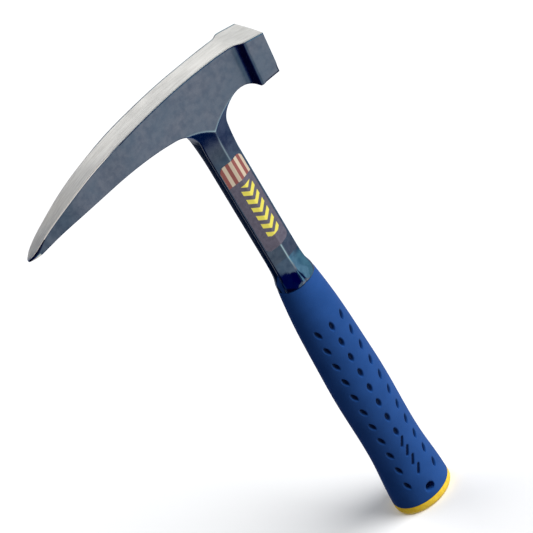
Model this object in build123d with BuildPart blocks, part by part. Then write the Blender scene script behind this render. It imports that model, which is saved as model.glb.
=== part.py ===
from build123d import *
from math import cos, radians, sin, sqrt
import os

# Rock hammer, millimetres. The hammer stands upright on its butt:
# +Z runs up the handle, +X is the side of the striking face, -X is the side of
# the pick, and Y is the thickness. The origin is the middle of the butt.

# ---------------------------------------------------------------- dimensions
# Striking end
face_size = 26.1            # the striking face is square
face_toe_in = 5.3           # degrees that the face leans down towards the hand
face_low_x = 49.3
face_low_z = 294.0
face_chamfer = 0.7
poll_back_x = 36.8          # where the poll block steps out from the cheeks
poll_low = (35.6, 295.3)    # lowest corner of the block, beside the notch
poll_ease = 1.3             # the step eases out to the full width over this length
plan_low_z = 296.0          # height at which poll_back_x is measured

# Head
crown_z = 330.0             # highest point of the head
crown_x = -31.0
cheek_half = 8.5            # half thickness between the flat cheeks
cheek_reach = 36.0          # the cheeks are hollow this far behind the poll block
taper_start_x = -45.0       # from here the cheeks draw in towards the tip
pick_tip = (-127.0, 311.1)
pick_tip_half = 1.3
pick_nose = (0.3, 0.6)      # small blunt end at the very tip
pick_bevel = (8.0, 0.8)     # length and drop of the ground bevel under the tip

# Neck: a flat bar with one ridge down the middle of each wide side
neck_half_width = 9.65
neck_ridge = 5.74           # half thickness at the ridge
neck_edge = 3.6             # half thickness at the narrow sides
neck_low_z = 197.0

# The wide sides of the neck swell into the cheeks in hollow curves
flare_low_z = 272.0
flare_heights = (flare_low_z, 280.0, 288.0, 294.0, 299.0, 303.0, 306.0)
flare_overhang = 1.4        # the wide sides are drawn past the narrow ones, then cut
ridge_radius = 78.0         # hollow curve of the ridge
strike_side_radius = 84.0   # hollow curve of the edge on the striking side
pick_side_radius = 98.0     # hollow curve of the edge on the pick side

# Side view of what lies below the cheeks
under_cheeks_outline = [
    (-24.0, flare_low_z),
    (-24.0, 305.0),
    (0.0, 300.0),
    (17.0, 304.0),
    (20.0, 303.0),
    (20.0, flare_low_z),
]

# Hollows between the neck and the head
notch_centre = (24.0, 288.3)
notch_radius = 13.6
throat_centre = (-27.0, 288.9)
throat_radius = 17.1
throat_start = 15.0         # degrees past its top where the hollow leaves the pick

# Collar where the steel meets the grip
collar_low_z = 177.6
# (height, half width, half thickness, how far the sides have bowed into an oval)
collar_sections = [
    (neck_low_z, 9.65, 5.74, 0.02),
    (190.5, 10.1, 6.1, 0.2),
    (184.5, 11.3, 7.3, 0.6),
    (180.5, 12.3, 8.7, 0.9),
    (collar_low_z, 12.75, 9.35, 1.0),
]
collar_bulge = 0.12         # bow of each wide side over its length, at the rim
collar_corner_x = 0.21      # the six corners move in by this share of the half width
collar_corner_y = 0.62      # and out to this share of the half thickness

# Tang inside the grip
tang_half_width = 7.8
tang_half_thickness = 3.2
tang_low_z = 19.5
tang_overlap = 0.5          # the tang runs this far up into the collar
tang_hole_count = 3
tang_hole_radius = 3.5
tang_hole_pitch = 45.0

# Grip: (height, half width across X) from the butt to the collar
grip_stations = [
    (5.2, 19.4),
    (18.0, 18.8),
    (36.0, 17.5),
    (60.0, 17.2),
    (90.0, 17.7),
    (120.0, 16.9),
    (150.0, 15.6),
    (168.0, 14.0),
    (collar_low_z, 12.9),
]
grip_ratio_low = 0.85       # thickness over width at the butt
grip_ratio_high = 0.735     # thickness over width at the collar
sleeve_wall = 3.4
cap_height = 5.2            # yellow band at the butt
cap_round = 2.2

# Moulded marks in the grip
mark_turn = -6.0            # the moulded pattern is turned a little about Z
mark_clearance = 3.0        # the cuts start this far outside the grip
side_column_angle = 36.0
dimple_pitch = 12.3
dimple_top_z = 144.5
side_column_count = 11
middle_column_count = 8
dimple_length = 7.4
dimple_width = 3.4
dimple_depth = 1.3
dimple_lean = 20.0          # the side dimples' lower ends lean to the middle column
bar_count = 4
bar_pitch = 7.4
bar_top_z = 50.0
bar_length = 7.5
bar_width = 1.9
bar_depth = 0.8
bar_lean = 60.0
lanyard_radius = 3.0
lanyard_lining = 1.0        # the sleeve lines the hole where it crosses the cushioning
lanyard_z = 12.6

# Label on one side of the neck
label_low_z = 206.0
label_high_z = 269.5
label_left = -8.7
label_right = 8.0
label_corner = 3.5
label_thickness = 0.15

# Cuts and blanks reach this far, which is past every part of the hammer's thickness
past_head_x = 60.0
past_sides = 50.0


# ------------------------------------------------------------------ formulas
def sweep_out(radius, z):
    """How far a hollow curve that starts at flare_low_z has swung out at z."""
    return radius - sqrt(radius**2 - (z - flare_low_z) ** 2)


def hollow_edge(z, centre, radius):
    """Half width of the neck at height z, beside a round hollow."""
    widest = abs(centre[0])
    rise = z - centre[1]
    if rise < 0:
        part_way = (z - flare_low_z) / (centre[1] - flare_low_z)
        return neck_half_width + (widest - radius - neck_half_width) * part_way
    return widest - sqrt(max(radius**2 - rise**2, 0.0))


def bowed(start, end, bow):
    """Middle of a side that bows outwards."""
    along_x = end[0] - start[0]
    along_y = end[1] - start[1]
    out = collar_bulge * bow
    return (
        (start[0] + end[0]) / 2 + along_y * out,
        (start[1] + end[1]) / 2 - along_x * out,
    )


def grip_half(z):
    """Half width of the grip at height z, between its stations."""
    for (z0, w0), (z1, w1) in zip(grip_stations, grip_stations[1:]):
        if z <= z1:
            return w0 + (w1 - w0) * (z - z0) / (z1 - z0)
    return grip_stations[-1][1]


def grip_ratio(z):
    """Thickness of the grip over its width at height z."""
    return grip_ratio_low + (grip_ratio_high - grip_ratio_low) * z / collar_low_z


def grip_plane(angle, z):
    """Plane a clearance outside the grip, at an angle from -Y and a height."""
    half_x = grip_half(z)
    half_y = half_x * grip_ratio(z)
    turn = radians(angle)
    point = Vector(half_x * sin(turn), -half_y * cos(turn), z)
    normal = Vector(sin(turn) / half_x, -cos(turn) / half_y, 0).normalized()
    along = Vector(-normal.Y, normal.X, 0)
    return Plane(origin=point + normal * mark_clearance, x_dir=along, z_dir=normal)


# ------------------------------------------------------------- forged body
# The wide sides of the neck, swelling into the cheeks
with BuildPart() as neck_flare:
    for z in flare_heights:
        ridge = neck_ridge + sweep_out(ridge_radius, z)
        right_x = hollow_edge(z, notch_centre, notch_radius)
        right_y = neck_edge + sweep_out(strike_side_radius, z)
        left_x = hollow_edge(z, throat_centre, throat_radius)
        left_y = neck_edge + sweep_out(pick_side_radius, z)
        right_end = (right_x * flare_overhang, ridge + (right_y - ridge) * flare_overhang)
        left_end = (-left_x * flare_overhang, ridge + (left_y - ridge) * flare_overhang)
        with BuildSketch(Plane.XY.offset(z)):
            with BuildLine():
                Polyline(
                    right_end,
                    (0, ridge),
                    left_end,
                    (left_end[0], -left_end[1]),
                    (0, -ridge),
                    (right_end[0], -right_end[1]),
                    close=True,
                )
            make_face()
    loft()

# What has to come off the head below its cheeks, down to the swelling neck
with BuildPart() as under_cheeks:
    with BuildSketch(Plane.XZ):
        with BuildLine():
            Polyline(*under_cheeks_outline, close=True)
        make_face()
    extrude(amount=face_size, both=True)
    add(neck_flare.part, mode=Mode.SUBTRACT)

# The head seen from above, along the slope of the striking face
lean = radians(face_toe_in)
plan_plane = Plane(
    origin=(0, 0, plan_low_z),
    x_dir=(cos(lean), 0, -sin(lean)),
    z_dir=(sin(lean), 0, cos(lean)),
)
with BuildPart() as head_plan:
    with BuildSketch(plan_plane):
        with BuildLine():
            Line((past_head_x, 0), (past_head_x, face_size / 2))
            Line((past_head_x, face_size / 2), (poll_back_x + poll_ease, face_size / 2))
            Spline(
                (poll_back_x + poll_ease, face_size / 2),
                (poll_back_x - 1.0, cheek_half + 4.25),
                (poll_back_x - 3.6, cheek_half + 2.4),
                (poll_back_x - 5.8, cheek_half + 1.3),
                (poll_back_x - 9.0, cheek_half + 0.8),
                (poll_back_x - 22.0, cheek_half + 0.25),
                (poll_back_x - cheek_reach, cheek_half),
                tangents=[(-1, 0), (-1, 0)],
            )
            Line((poll_back_x - cheek_reach, cheek_half), (taper_start_x, cheek_half))
            Spline(
                (taper_start_x, cheek_half),
                (-70.0, 7.45),
                (-94.0, 6.4),
                (-110.0, 4.9),
                (-119.5, 4.1),
                (-123.8, 3.1),
                (pick_tip[0], pick_tip_half),
                tangents=[(-1, 0), (-0.85, -0.5)],
            )
            Line((pick_tip[0], pick_tip_half), (pick_tip[0], 0))
            Line((pick_tip[0], 0), (past_head_x, 0))
        make_face()
        mirror(about=Plane.XZ)
    extrude(amount=past_sides, both=True)

# Corners of the side outline
face_low = (face_low_x, face_low_z)
face_high = (
    face_low_x + face_size * sin(lean),
    face_low_z + face_size * cos(lean),
)
nose_low = (pick_tip[0] + pick_nose[0], pick_tip[1] - pick_nose[1])
bevel_end = (pick_tip[0] + pick_bevel[0], pick_tip[1] - pick_bevel[1])
throat_turn = radians(throat_start)
throat_high = (
    throat_centre[0] + throat_radius * sin(throat_turn),
    throat_centre[1] + throat_radius * cos(throat_turn),
)
throat_low = (throat_centre[0] + throat_radius, throat_centre[1])
notch_low = (notch_centre[0] - notch_radius, notch_centre[1])
half_turn = sqrt(0.5)
throat_middle = (
    throat_centre[0] + throat_radius * half_turn,
    throat_centre[1] + throat_radius * half_turn,
)
notch_middle = (
    notch_centre[0] - notch_radius * half_turn,
    notch_centre[1] + notch_radius * half_turn,
)

with BuildPart() as forged_body:
    # Side outline of the head and the top of the neck
    with BuildSketch(Plane.XZ):
        with BuildLine():
            Line(face_low, face_high)
            Spline(
                face_high,
                (33.8, 324.9),
                (15.7, 327.6),
                (-6.2, 329.5),
                (crown_x, crown_z),
                (-58.5, 328.8),
                (-82.3, 325.5),
                (-101.2, 320.9),
                (-116.0, 316.1),
                pick_tip,
                tangents=[(-0.962, 0.272), (-0.9, -0.43)],
            )
            Polyline(pick_tip, nose_low, bevel_end)
            Spline(
                bevel_end,
                (-100.0, 311.5),
                (-72.0, 311.3),
                (-52.0, 310.7),
                (-38.0, 308.9),
                (-30.0, 307.3),
                throat_high,
                tangents=[(0.996, 0.09), (cos(throat_turn), -sin(throat_turn))],
            )
            ThreePointArc(throat_high, throat_middle, throat_low)
            Polyline(
                throat_low,
                (-neck_half_width, flare_low_z),
                (neck_half_width, flare_low_z),
                notch_low,
            )
            ThreePointArc(notch_low, notch_middle, poll_low)
            Line(poll_low, face_low)
        make_face()
    extrude(amount=past_sides, both=True)
    add(head_plan.part, mode=Mode.INTERSECT)
    add(under_cheeks.part, mode=Mode.SUBTRACT)
    face_edges = forged_body.faces().sort_by(Axis.X)[-1].edges()
    chamfer(face_edges, length=face_chamfer)

    # Straight neck
    with BuildSketch(Plane.XY.offset(neck_low_z)):
        with BuildLine():
            Polyline(
                (neck_half_width, neck_edge),
                (0, neck_ridge),
                (-neck_half_width, neck_edge),
                (-neck_half_width, -neck_edge),
                (0, -neck_ridge),
                (neck_half_width, -neck_edge),
                close=True,
            )
        make_face()
    extrude(amount=flare_low_z - neck_low_z)

    # Collar: the six sides of the neck swell into an oval
    for z, half_x, half_y, bow in collar_sections:
        corner_y = neck_edge + (collar_corner_y * half_y - neck_edge) * bow
        corner_x = half_x - collar_corner_x * half_x * bow
        with BuildSketch(Plane.XY.offset(z)):
            with BuildLine():
                for side in (1, -1):
                    low_right = (side * corner_x, -side * corner_y)
                    high_right = (side * corner_x, side * corner_y)
                    top = (0, side * half_y)
                    high_left = (-side * corner_x, side * corner_y)
                    ThreePointArc(low_right, (side * half_x, 0), high_right)
                    ThreePointArc(high_right, bowed(high_right, top, bow), top)
                    ThreePointArc(top, bowed(top, high_left, bow), high_left)
            make_face()
    loft()

    # Tang, with holes that key the grip to it
    tang_top_z = collar_low_z + tang_overlap
    hole_places = []
    for n in range(tang_hole_count):
        hole_places.append((0, tang_low_z + tang_hole_pitch * (n + 0.5)))
    with BuildSketch(Plane.XZ):
        with Locations((0, (tang_top_z + tang_low_z) / 2)):
            Rectangle(2 * tang_half_width, tang_top_z - tang_low_z)
        with Locations(*hole_places):
            Circle(tang_hole_radius, mode=Mode.SUBTRACT)
    extrude(amount=tang_half_thickness, both=True)


# ------------------------------------------------------- cushioning and cap
def oval(z, grow):
    """Cross-section of the grip at height z, grown or shrunk all round."""
    half_x = grip_half(z)
    with BuildSketch(Plane.XY.offset(z)) as section:
        Ellipse(half_x + grow, half_x * grip_ratio(z) + grow)
    return section.sketch


# The space inside the sleeve
with BuildPart() as sleeve_inside:
    for z, _ in grip_stations:
        add(oval(z, -sleeve_wall))
    loft()

# A round rod along the lanyard hole, as wide as the hole and its lining
lanyard_turn = radians(mark_turn)
lanyard_axis = Vector(sin(lanyard_turn), -cos(lanyard_turn), 0)
lanyard_plane = Plane(origin=(0, 0, lanyard_z), z_dir=lanyard_axis)
with BuildPart() as lanyard_rod:
    with BuildSketch(lanyard_plane):
        Circle(lanyard_radius + lanyard_lining)
    extrude(amount=past_sides, both=True)

# What is left empty in the sleeve
with BuildPart() as cavity:
    add(sleeve_inside.part)
    add(lanyard_rod.part, mode=Mode.SUBTRACT)

with BuildPart() as grip_core:
    add(sleeve_inside.part)
    with BuildSketch(Plane.XY):
        cap_half = grip_half(cap_height)
        Ellipse(cap_half, cap_half * grip_ratio(cap_height))
    extrude(amount=cap_height)
    fillet(grip_core.edges().group_by(Axis.Z)[0], radius=cap_round)
    add(forged_body.part, mode=Mode.SUBTRACT)
    add(lanyard_rod.part, mode=Mode.SUBTRACT)

with BuildPart() as grip_sleeve:
    for z, _ in grip_stations:
        add(oval(z, 0))
    loft()
    add(cavity.part, mode=Mode.SUBTRACT)

    # Leaf-shaped dimples in three columns on each side
    for side in (0, 180):
        for column in (-1, 0, 1):
            count = side_column_count if column else middle_column_count
            angle = mark_turn + column * side_column_angle + side
            planes = []
            for n in range(count):
                planes.append(grip_plane(angle, dimple_top_z - n * dimple_pitch))
            with BuildSketch(*planes):
                Ellipse(
                    dimple_width / 2,
                    dimple_length / 2,
                    rotation=-column * dimple_lean,
                )
            extrude(amount=-mark_clearance - dimple_depth, mode=Mode.SUBTRACT)

    # A short row of slanted bars below the middle dimples, on both sides
    bar_planes = []
    for side in (0, 180):
        for n in range(bar_count):
            bar_planes.append(grip_plane(mark_turn + side, bar_top_z - n * bar_pitch))
    with BuildSketch(*bar_planes):
        SlotOverall(bar_length, bar_width, rotation=bar_lean)
    extrude(amount=-mark_clearance - bar_depth, mode=Mode.SUBTRACT)

    # Lanyard hole, right through
    with BuildSketch(lanyard_plane):
        Circle(lanyard_radius)
    extrude(amount=past_sides, both=True, mode=Mode.SUBTRACT)

# -------------------------------------------------------------------- label
# A thin film folded over the ridge on the -Y side of the neck
facet_slope = (neck_ridge - neck_edge) / neck_half_width
with BuildPart() as label:
    with BuildSketch(Plane.XY.offset(label_low_z)):
        left_y = -neck_ridge - facet_slope * label_left
        right_y = -neck_ridge + facet_slope * label_right
        with BuildLine():
            Polyline(
                (label_left, left_y),
                (0, -neck_ridge),
                (label_right, right_y),
                (label_right, right_y - label_thickness),
                (0, -neck_ridge - label_thickness),
                (label_left, left_y - label_thickness),
                close=True,
            )
        make_face()
    extrude(amount=label_high_z - label_low_z)
    label_middle = ((label_left + label_right) / 2, (label_low_z + label_high_z) / 2)
    with BuildSketch(Plane.XZ):
        with Locations(label_middle):
            RectangleRounded(
                label_right - label_left, label_high_z - label_low_z, label_corner
            )
    extrude(amount=past_sides, mode=Mode.INTERSECT)


# ------------------------------------------------------------------- output
os.makedirs("parts", exist_ok=True)
forged_body.part.label = "forged_body"
export_step(forged_body.part, "parts/forged_body.step")
grip_core.part.label = "grip_core"
export_step(grip_core.part, "parts/grip_core.step")
grip_sleeve.part.label = "grip_sleeve"
export_step(grip_sleeve.part, "parts/grip_sleeve.step")
label.part.label = "label"
export_step(label.part, "parts/label.step")
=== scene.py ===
"""Looks of the rock hammer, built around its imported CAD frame."""

import math

import bpy
import numpy as np
from mathutils import Matrix, Vector, kdtree


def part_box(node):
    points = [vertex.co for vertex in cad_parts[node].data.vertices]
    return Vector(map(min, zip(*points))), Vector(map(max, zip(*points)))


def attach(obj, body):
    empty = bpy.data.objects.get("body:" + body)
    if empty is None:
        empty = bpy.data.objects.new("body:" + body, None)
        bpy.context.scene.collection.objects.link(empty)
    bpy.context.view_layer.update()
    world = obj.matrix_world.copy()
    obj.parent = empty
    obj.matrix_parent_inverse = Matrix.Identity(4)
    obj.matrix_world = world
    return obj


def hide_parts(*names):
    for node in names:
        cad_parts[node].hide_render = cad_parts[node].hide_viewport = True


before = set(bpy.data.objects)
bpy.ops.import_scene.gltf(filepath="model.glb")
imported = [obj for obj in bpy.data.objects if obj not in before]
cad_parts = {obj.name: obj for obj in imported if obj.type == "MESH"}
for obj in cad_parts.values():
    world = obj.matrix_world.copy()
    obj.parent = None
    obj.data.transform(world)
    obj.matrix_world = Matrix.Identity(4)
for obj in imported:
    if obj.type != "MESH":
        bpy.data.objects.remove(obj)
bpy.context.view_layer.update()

MM = 0.001  # the shapes below are worked out in millimetres

# ---------------------------------------------------------------- CAD places
body_low, body_high = [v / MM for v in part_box("forged_body")]
sleeve_low, sleeve_high = [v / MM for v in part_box("grip_sleeve")]
label_low, label_high = [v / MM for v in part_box("label")]

CROWN_Z = body_high.z
TIP_X = body_low.x
PLAN_TIP = TIP_X - 0.8  # the outlines run on to here; the plan's lean cuts them at TIP_X
POLL_HALF = body_high.y
TANG_LOW = body_low.z
COLLAR_Z = sleeve_high.z
CAP_Z = sleeve_low.z

# Striking end, in the head's side view (x, z)
FACE_LEAN = math.radians(5.3)
FACE_LOW = (49.3, 294.0)
FACE_SIZE = 2 * POLL_HALF
FACE_HIGH = (
    FACE_LOW[0] + FACE_SIZE * math.sin(FACE_LEAN),
    FACE_LOW[1] + FACE_SIZE * math.cos(FACE_LEAN),
)
POLL_LOW = (35.6, 295.3)  # lowest corner of the block, beside the notch
POLL_BACK = 36.8  # where the block steps out from the cheeks
POLL_EASE = 1.3  # length over which the step eases out
PLAN_LOW = 296.0  # height at which POLL_BACK is measured

# Cheeks and pick
CHEEK = 8.5  # half thickness between the flat cheeks
CHEEK_REACH = 36.0  # the cheeks are hollow this far behind the block
TAPER_START = -45.0
CROWN_X = -31.0
TIP_Z = 311.1
TIP_HALF = 1.3
NOSE_Z = 310.45  # underside of the small blunt end at the tip
BEVEL_LENGTH = 8.0  # ground bevel under the tip
BEVEL_DROP = 0.8

# Neck
NECK_WIDE = 9.65  # half width
NECK_RIDGE = 5.74  # half thickness at the ridge
NECK_EDGE = 3.6  # half thickness at the narrow sides
FLARE_LOW = 272.0  # from here up the wide sides swell into the cheeks
RIDGE_SWEEP = 78.0
STRIKE_SWEEP = 84.0
PICK_SWEEP = 98.0
NOTCH = (24.0, 288.3)
NOTCH_R = 13.6
THROAT = (-27.0, 288.9)
THROAT_R = 17.1
THROAT_START = math.radians(15)  # the hollow leaves the pick this far past its top
THROAT_HIGH = (
    THROAT[0] + THROAT_R * math.sin(THROAT_START),
    THROAT[1] + THROAT_R * math.cos(THROAT_START),
)
CREASE_LOW = 284.0  # the cheeks' lower boundary lies between this height
CREASE_HIGH = 306.0  # and this one
CREASE_ROUND = 0.5
COLLAR = [
    # height, half width, half thickness, share of the oval
    (177.6, 12.75, 9.35, 1.0),
    (179.3, 12.65, 9.2, 0.96),
    (181.0, 12.4, 8.75, 0.88),
    (184.5, 11.35, 7.35, 0.6),
    (190.5, 10.15, 6.35, 0.2),
    (196.3, 9.65, 5.74, 0.0),
    (196.6, 9.65, 5.74, 0.0),
]
COLLAR_TOP = 199.9  # below this height the neck follows the collar's table
COLLAR_BOW = 0.12  # bow of each wide side over its length, at the rim
CORNER_X = 0.13  # the corners move in by this share of the half width
CORNER_Y = 0.54  # and out to this share of the half thickness
TANG = (7.8, 3.2)  # half width, half thickness

# Grip: height, half width
GRIP = [
    (5.2, 19.4),
    (18.0, 18.8),
    (36.0, 17.5),
    (60.0, 17.2),
    (90.0, 17.7),
    (120.0, 16.9),
    (150.0, 15.6),
    (168.0, 14.0),
    (177.6, 12.9),
]
RATIO_LOW, RATIO_HIGH = 0.85, 0.735  # thickness over width at the butt and the collar
WALL = 3.4
CAP_ROUND = 2.2
SLEEVE_LIP = 0.6  # rounding of the sleeve's ends
SIDES = (0, math.pi)  # the pattern is on both wide sides
MARK_TURN = math.radians(-6.0)  # the pattern is turned a little about Z
DIMPLE = (7.4, 3.4, 1.3)  # length, width, depth
DIMPLE_PITCH = 12.3
DIMPLE_TOP = 144.5
COLUMN_TURN = math.radians(36)
COLUMN_LEAN = math.radians(20)
SIDE_COUNT, MIDDLE_COUNT = 11, 8
BAR = (7.5, 1.9, 0.8)  # length, width, depth
BAR_COUNT = 4
BAR_PITCH = 7.4
BAR_TOP = 50.0
BAR_LEAN = math.radians(30)
DIMPLE_POWER, BAR_POWER = 1.7, 6.0  # pointed dimples, blunt bars
LANYARD_Z = 12.6
LANYARD_R = 3.0
LINING = 1.0

# Label: a film folded over the ridge, with a striped panel and chevrons
LABEL_CORNER = 3.5
FILM = 0.15
PANEL_LOW, PANEL_HIGH = 255.5, 290.0
STRIPE_PITCH = 4.3
CHEVRONS_LOW, CHEVRONS_HIGH = 214.0, 252.0
CHEVRON_X = 0.8  # middle of the column
CHEVRON_ARM = 4.6
CHEVRON_PITCH = 6.2

# Rounding of the forging
RIM = 0.55  # along its long edges
POLL_RIM = 1.3  # under the striking block
NECK_CROWN = 0.12  # bulge of its narrow sides
HEAD_CROWN = 0.22
HEAD_CROWN_Z = 290.0  # the narrow sides above this belong to the head
BARE_RIM_AND_HIGHLIGHT_FROM = -52.0  # toward the tip from here the top edges are bare and carry a painted highlight
POLL_RIM_TOP = 300.5  # the block's lower rim lies below this height

# Where the forging is bare, or has painted highlights or painted shade. Distances from the tip
# are added to TIP_X.
RIDGE_LINE, CREASE_LINE = 0.45, 0.5  # widths of the painted highlight lines
RIDGE_LOW, RIDGE_DIM = 186.0, 255.0  # heights where the ridge's painted highlight line starts and dims
TOP_RIM_LOW = 312.0  # rims above this height belong to the head's top
BARE_TIP = 12.0  # the wide bare rim ends this far from the tip
BEVEL_FROM, BEVEL_TO = 1.2, 6.2  # bare bevel on the cheeks with a painted highlight, from the tip
BEVEL_TOP = 312.1
BEVEL_ROWS = 15
BEVEL_STRIP = 7.0  # bright bevel on the underside, from the tip
WEDGE_DEPTH, WEDGE_LENGTH = 2.6, 20.0  # painted shade: a dark wedge along the cheek's top at the tip
UNDER_LINE = 1.35  # painted shade: a dark line along the block's lower rim
GLOSS_TOP = 198.0  # the collar below this height is glossier than the neck


# ------------------------------------------------------------------- helpers
def cubic(points, start=None, end=None, count=600):
    """Smooth curve through points, with the two end directions given or free."""
    p = np.array(points, float)
    t = np.concatenate([[0], np.cumsum(np.linalg.norm(np.diff(p, axis=0), axis=1))])
    n = len(p)
    h = np.diff(t)
    a = np.zeros((n, n))
    b = np.zeros((n, p.shape[1]))
    for i in range(1, n - 1):
        a[i, i - 1 : i + 2] = h[i - 1], 2 * (h[i - 1] + h[i]), h[i]
        b[i] = 6 * ((p[i + 1] - p[i]) / h[i] - (p[i] - p[i - 1]) / h[i - 1])
    a[0, 0] = a[-1, -1] = 1
    if start is not None:
        a[0, :2] = 2 * h[0], h[0]
        b[0] = 6 * ((p[1] - p[0]) / h[0] - np.array(start, float))
    if end is not None:
        a[-1, -2:] = h[-1], 2 * h[-1]
        b[-1] = 6 * (np.array(end, float) - (p[-1] - p[-2]) / h[-1])
    m = np.linalg.solve(a, b)
    s = np.linspace(0, t[-1], count)
    i = np.clip(np.searchsorted(t, s, side="right") - 1, 0, n - 2)
    lo = (s - t[i])[:, None]
    hi = (t[i + 1] - s)[:, None]
    w = h[i][:, None]
    return (
        (m[i] * hi**3 + m[i + 1] * lo**3) / (6 * w)
        + (p[i] / w - m[i] * w / 6) * hi
        + (p[i + 1] / w - m[i + 1] * w / 6) * lo
    )


def unit(x, y):
    """Direction (x, y) with a length of 1."""
    length = math.hypot(x, y)
    return x / length, y / length


def smooth(x):
    """Eases from 0 to 1 as x does."""
    x = np.clip(x, 0, 1)
    return x * x * (3 - 2 * x)


def soft_min(a, b, k):
    """Smaller of a and b, with the crease between them rounded over about k."""
    h = np.clip(0.5 + 0.5 * (b - a) / k, 0, 1)
    return b + (a - b) * h - k * h * (1 - h)


def round_off(radius, gap):
    """How far a rounded rim has dropped at a distance from its end."""
    inset = np.clip(radius - gap, 0, None)
    return radius - np.sqrt(np.maximum(radius**2 - inset**2, 0))


def make_mesh(name, points, faces, mats, face_mats=None):
    """A smooth-shaded object in metres from points in millimetres."""
    mesh = bpy.data.meshes.new(name)
    mesh.from_pydata((np.asarray(points) * MM).tolist(), [], faces)
    mesh.update()
    for m in mats:
        mesh.materials.append(m)
    if face_mats is not None:
        mesh.polygons.foreach_set("material_index", face_mats)
    mesh.polygons.foreach_set("use_smooth", [True] * len(mesh.polygons))
    obj = bpy.data.objects.new(name, mesh)
    bpy.context.scene.collection.objects.link(obj)
    return obj


def paint(obj, name, values):
    """A per-vertex number that the materials read."""
    layer = obj.data.attributes.new(name, "FLOAT", "POINT")
    layer.data.foreach_set("value", np.asarray(values, np.float32))


# ------------------------------------------------------- shape of the forging
top_curve = cubic(
    [
        FACE_HIGH,
        (33.8, 324.9),
        (15.7, 327.6),
        (-6.2, 329.5),
        (CROWN_X, CROWN_Z),
        (-58.5, 328.8),
        (-82.3, 325.5),
        (-101.2, 320.9),
        (-116.0, 316.1),
        (PLAN_TIP, TIP_Z),
    ],
    unit(-0.962, 0.272),
    unit(-0.9, -0.43),
    4000,
)[::-1]
under_curve = cubic(
    [
        (PLAN_TIP + BEVEL_LENGTH, TIP_Z - BEVEL_DROP),
        (-100.0, 311.5),
        (-72.0, 311.3),
        (-52.0, 310.7),
        (-38.0, 308.9),
        (-30.0, 307.3),
        THROAT_HIGH,
    ],
    unit(0.996, 0.09),
    (math.cos(THROAT_START), -math.sin(THROAT_START)),
    3000,
)
plan_curve = np.concatenate(
    [
        cubic(
            [
                (PLAN_TIP, TIP_HALF),
                (-123.8, 3.1),
                (-119.5, 4.1),
                (-110.0, 4.9),
                (-94.0, 6.4),
                (-70.0, 7.45),
                (TAPER_START, CHEEK),
            ],
            unit(0.85, 0.5),
            (1, 0),
            1500,
        ),
        cubic(
            [
                (POLL_BACK - CHEEK_REACH, CHEEK),
                (POLL_BACK - 22, CHEEK + 0.25),
                (POLL_BACK - 9, CHEEK + 0.8),
                (POLL_BACK - 5.8, CHEEK + 1.3),
                (POLL_BACK - 3.6, CHEEK + 2.4),
                (POLL_BACK - 1.0, CHEEK + 4.25),
                (POLL_BACK + POLL_EASE, POLL_HALF),
            ],
            (1, 0),
            (1, 0),
            1500,
        ),
        [(60.0, POLL_HALF)],
    ]
)
plan_x = np.arange(TIP_X - 4, 60, 0.1)
plan_y = np.interp(plan_x, plan_curve[:, 0], plan_curve[:, 1])
# the step beside the block is softened a little
SOFTEN = 4  # plan points to each side
kernel = np.hanning(2 * SOFTEN + 1)
padded = np.pad(plan_y, SOFTEN, mode="edge")
softened = np.convolve(padded, kernel / kernel.sum(), mode="valid")
plan_y = np.where(plan_x > 0, softened, plan_y)


def top_z(x):
    return np.interp(x, top_curve[:, 0], top_curve[:, 1])


def plan_half(x, z):
    """Half thickness of the head at a point of its side view."""
    along = x * math.cos(FACE_LEAN) - (z - PLAN_LOW) * math.sin(FACE_LEAN)
    return np.interp(along, plan_x, plan_y)


def sweep_out(radius, z):
    """How far a hollow curve that starts at FLARE_LOW has swung out at z."""
    rise = np.clip(z - FLARE_LOW, 0, radius * 0.9)
    return radius - np.sqrt(radius**2 - rise**2)


def hollow_edge(z, centre, radius):
    """Half width of the neck beside a round hollow."""
    rise = z - centre[1]
    low = (z - FLARE_LOW) / (centre[1] - FLARE_LOW)
    straight = NECK_WIDE + (abs(centre[0]) - radius - NECK_WIDE) * np.clip(low, 0, 1)
    arc = abs(centre[0]) - np.sqrt(np.maximum(radius**2 - np.clip(rise, 0, None) ** 2, 0))
    return np.where(rise < 0, straight, arc)


collar = np.array(COLLAR)


def collar_at(z, column):
    """Smoothly interpolated column of the collar's table."""
    curve = cubic(collar[:-1, [0, column]], count=800)
    return np.interp(z, curve[:, 0], curve[:, 1])


def section(z):
    """Half width, half thickness, corner x, corner y and bow of the neck's lower end."""
    half_x = collar_at(z, 1)
    half_y = collar_at(z, 2)
    bow = np.clip(collar_at(z, 3), 0, 1)
    corner_y = NECK_EDGE + (CORNER_Y * half_y - NECK_EDGE) * bow
    corner_x = half_x - CORNER_X * half_x * bow
    return half_x, half_y, corner_x, corner_y, bow


def soft_abs(x, k=0.35):
    """Size of x, with the corner at 0 rounded."""
    return np.sqrt(x * x + k * k) - k


def flare_half(x, z):
    """Half thickness of the neck where its wide sides swell into the cheeks."""
    ridge = NECK_RIDGE + sweep_out(RIDGE_SWEEP, z)
    right = NECK_EDGE + sweep_out(STRIKE_SWEEP, z)
    left = NECK_EDGE + sweep_out(PICK_SWEEP, z)
    edge = np.where(x > 0, right, left)
    wide = np.where(x > 0, hollow_edge(z, NOTCH, NOTCH_R), hollow_edge(z, THROAT, THROAT_R))
    return ridge - (ridge - edge) * soft_abs(x) / wide


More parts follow.
